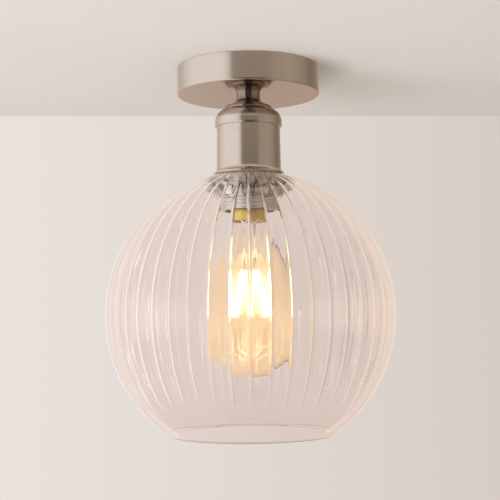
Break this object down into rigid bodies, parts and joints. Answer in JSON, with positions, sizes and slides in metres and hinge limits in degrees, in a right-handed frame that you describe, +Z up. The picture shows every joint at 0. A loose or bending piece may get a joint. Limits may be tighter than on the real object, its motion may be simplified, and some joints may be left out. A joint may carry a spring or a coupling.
{
  "type": "flush mount ceiling light",
  "caption": "Flush ceiling light: round nickel canopy and socket cup that hold an open globe of ribbed clear glass round an amber filament bulb.",
  "frame": {"origin": "middle of the canopy on the ceiling, halfway between the bracket's two screw slots", "axes": "+Z up into the ceiling, +X along the bracket's strap through both slots"},
  "size_m": [0.1996, 0.1996, 0.2562],
  "materials": {
    "satin_nickel": "satin brushed nickel plate",
    "zinc_steel": "zinc plated steel",
    "white_nylon": "moulded nylon",
    "brass": "bare brass",
    "black_resin": "moulded resin",
    "plated_ring": "nickel plated",
    "grey_silicone": "soft silicone",
    "ribbed_glass": "clear, ribbed",
    "brown_pvc": "wire insulation",
    "blue_pvc": "wire insulation",
    "green_pvc": "wire insulation with a yellow stripe",
    "gold_cap": "gold coloured plate",
    "solder": "solder",
    "amber_glass": "amber tinted",
    "clear_glass": "clear",
    "filament_glow": "phosphor coating, lit",
    "support_wire": "drawn wire",
    "circuit_board": "circuit board"
  },
  "bodies": {
    "fixture": {"canopy": "satin_nickel", "neck_collar": "satin_nickel", "socket_cup": "satin_nickel", "mounting_bracket": "zinc_steel", "canopy_nuts": "zinc_steel", "canopy_grub_screws": "zinc_steel", "threaded_tube": "zinc_steel", "lock_washer": "zinc_steel", "canopy_hex_nut": "zinc_steel", "terminal_screws": "zinc_steel", "block_screw": "zinc_steel", "earth_screw": "zinc_steel", "earth_washer": "zinc_steel", "holder_terminal_screws": "zinc_steel", "terminal_block": "white_nylon", "tube_bush": "white_nylon", "terminal_tubes": "brass", "earth_tag": "brass", "screw_shell": "brass", "centre_contact": "brass", "holder_terminals": "brass", "holder_cap": "black_resin", "holder_body": "black_resin", "holder_sleeve": "plated_ring", "upper_gasket": "grey_silicone", "live_wire": "brown_pvc", "neutral_wire": "blue_pvc", "earth_wire": "green_pvc"},
    "bulb_carrier": {"bulb_contact": "solder"},
    "bulb": {"bulb_cap": "gold_cap", "bulb_insulator": "black_resin", "bulb_glass": "amber_glass", "bulb_stem": "clear_glass", "bulb_filaments": "filament_glow", "bulb_support_wires": "support_wire", "bulb_driver_board": "circuit_board"},
    "shade": {"glass_shade": "ribbed_glass", "lower_gasket": "grey_silicone"},
    "clamp_ring": {"shade_ring": "plated_ring"}
  },
  "joints": [
    {"name": "bulb_drop", "type": "slide", "parent": "fixture", "child": "bulb_carrier", "axis": [0, 0, -1], "range_m": [0, 0.0109]},
    {"name": "bulb_turn", "type": "hinge", "parent": "bulb_carrier", "child": "bulb", "pos_m": [0, 0, -0.09], "axis": [0, 0, -1], "range_deg": [0, 1080]},
    {"name": "shade_drop", "type": "slide", "parent": "fixture", "child": "shade", "axis": [0, 0, -1], "range_m": [0, 0.01001]},
    {"name": "ring_turn", "type": "hinge", "parent": "shade", "child": "clamp_ring", "pos_m": [0, 0, -0.085], "axis": [0, 0, -1], "range_deg": [0, 1440]}
  ],
  "couplings": [
    {"joint": "bulb_drop", "follows": "bulb_turn", "m_per_rad": 0.00057757},
    {"joint": "shade_drop", "follows": "ring_turn", "m_per_rad": 0.00039789}
  ]
}
